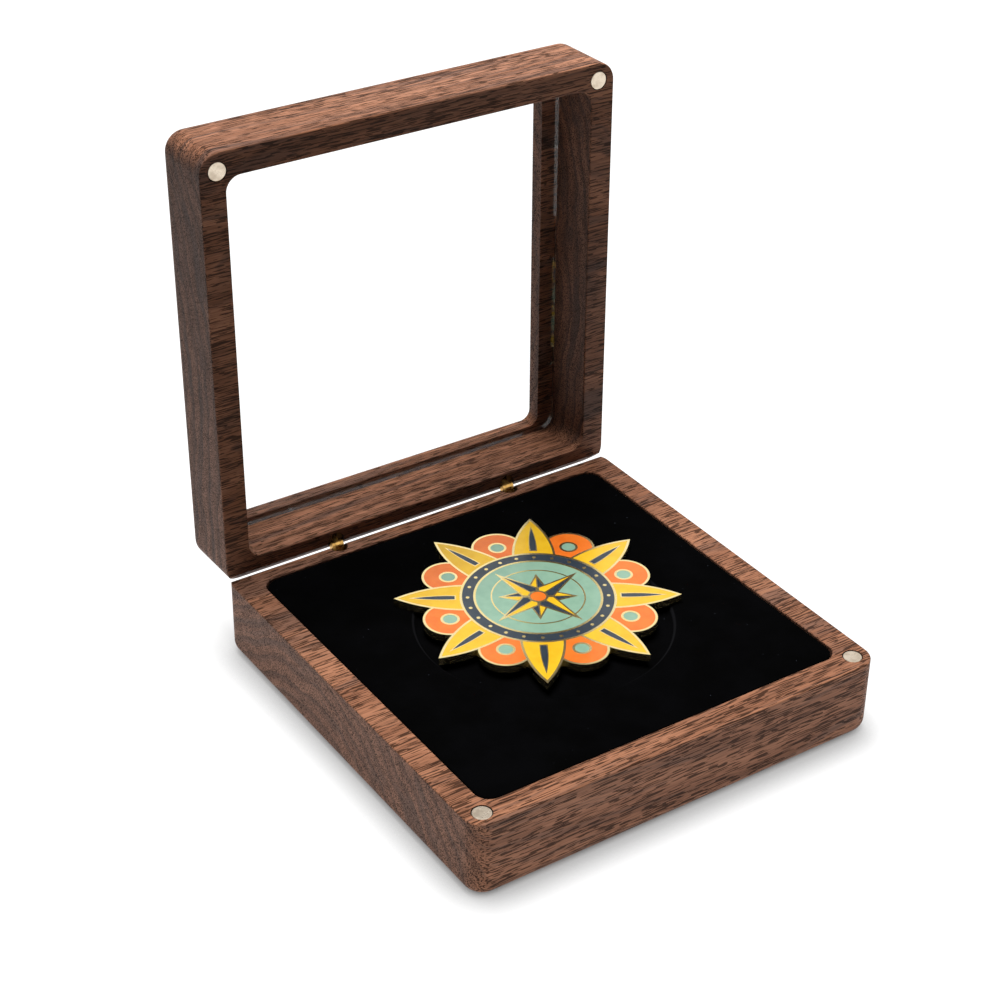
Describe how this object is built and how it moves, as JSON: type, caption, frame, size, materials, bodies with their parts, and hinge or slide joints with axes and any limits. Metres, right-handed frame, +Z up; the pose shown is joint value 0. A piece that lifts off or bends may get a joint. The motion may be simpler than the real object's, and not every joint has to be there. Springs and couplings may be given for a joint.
{
  "type": "coin display box",
  "caption": "Square wooden display box with a hinged, magnet-held window lid, open over a velvet pad that carries a lift-out enamelled medallion.",
  "frame": {"origin": "centre of the base's underside", "axes": "+Z up, +X to the right along the front edge, +Y to the rear, towards the hinges"},
  "size_m": [0.125, 0.1461, 0.1452],
  "materials": {
    "walnut": "oiled satin, open pores",
    "clear_pane": "clear, polished",
    "clear_glue": "clear, glossy",
    "greyboard": "matte",
    "foam": "matte foam",
    "black_velvet": "cut pile",
    "magnet_nickel": "bright nickel, lightly scuffed",
    "brass": "turned and milled",
    "gold_plate": "polished plating",
    "enamel_yellow": "glossy enamel",
    "enamel_orange": "glossy enamel",
    "enamel_teal": "glossy enamel",
    "enamel_slate": "glossy enamel"
  },
  "bodies": {
    "base": {"base_block": "walnut", "base_magnet_left": "magnet_nickel", "base_magnet_right": "magnet_nickel", "pad_backing_board": "greyboard", "pad_foam": "foam", "velvet_cover": "black_velvet", "hinge_left_base_barrel": "brass", "hinge_left_base_leaves": "brass", "hinge_left_base_cross_pin": "brass", "hinge_left_knuckle_pin": "brass", "hinge_right_base_barrel": "brass", "hinge_right_base_leaves": "brass", "hinge_right_base_cross_pin": "brass", "hinge_right_knuckle_pin": "brass"},
    "lid": {"lid_frame": "walnut", "window_pane": "clear_pane", "pane_glue_beads": "clear_glue", "lid_magnet_left": "magnet_nickel", "lid_magnet_right": "magnet_nickel", "hinge_left_lid_barrel": "brass", "hinge_left_lid_leaf": "brass", "hinge_left_lid_cross_pin": "brass", "hinge_right_lid_barrel": "brass", "hinge_right_lid_leaf": "brass", "hinge_right_lid_cross_pin": "brass"},
    "medal": {"medal_body": "gold_plate", "enamel_yellow": "enamel_yellow", "enamel_orange": "enamel_orange", "enamel_teal": "enamel_teal", "enamel_slate": "enamel_slate"}
  },
  "joints": [
    {"name": "lid_hinge", "type": "hinge", "parent": "base", "child": "lid", "pos_m": [0, 0.0602, 0.02255], "axis": [1, 0, 0], "range_deg": [0, 90.9]},
    {"name": "medal_lift", "type": "slide", "parent": "base", "child": "medal", "axis": [0, 0, 1], "range_m": [0, 0.006]}
  ]
}
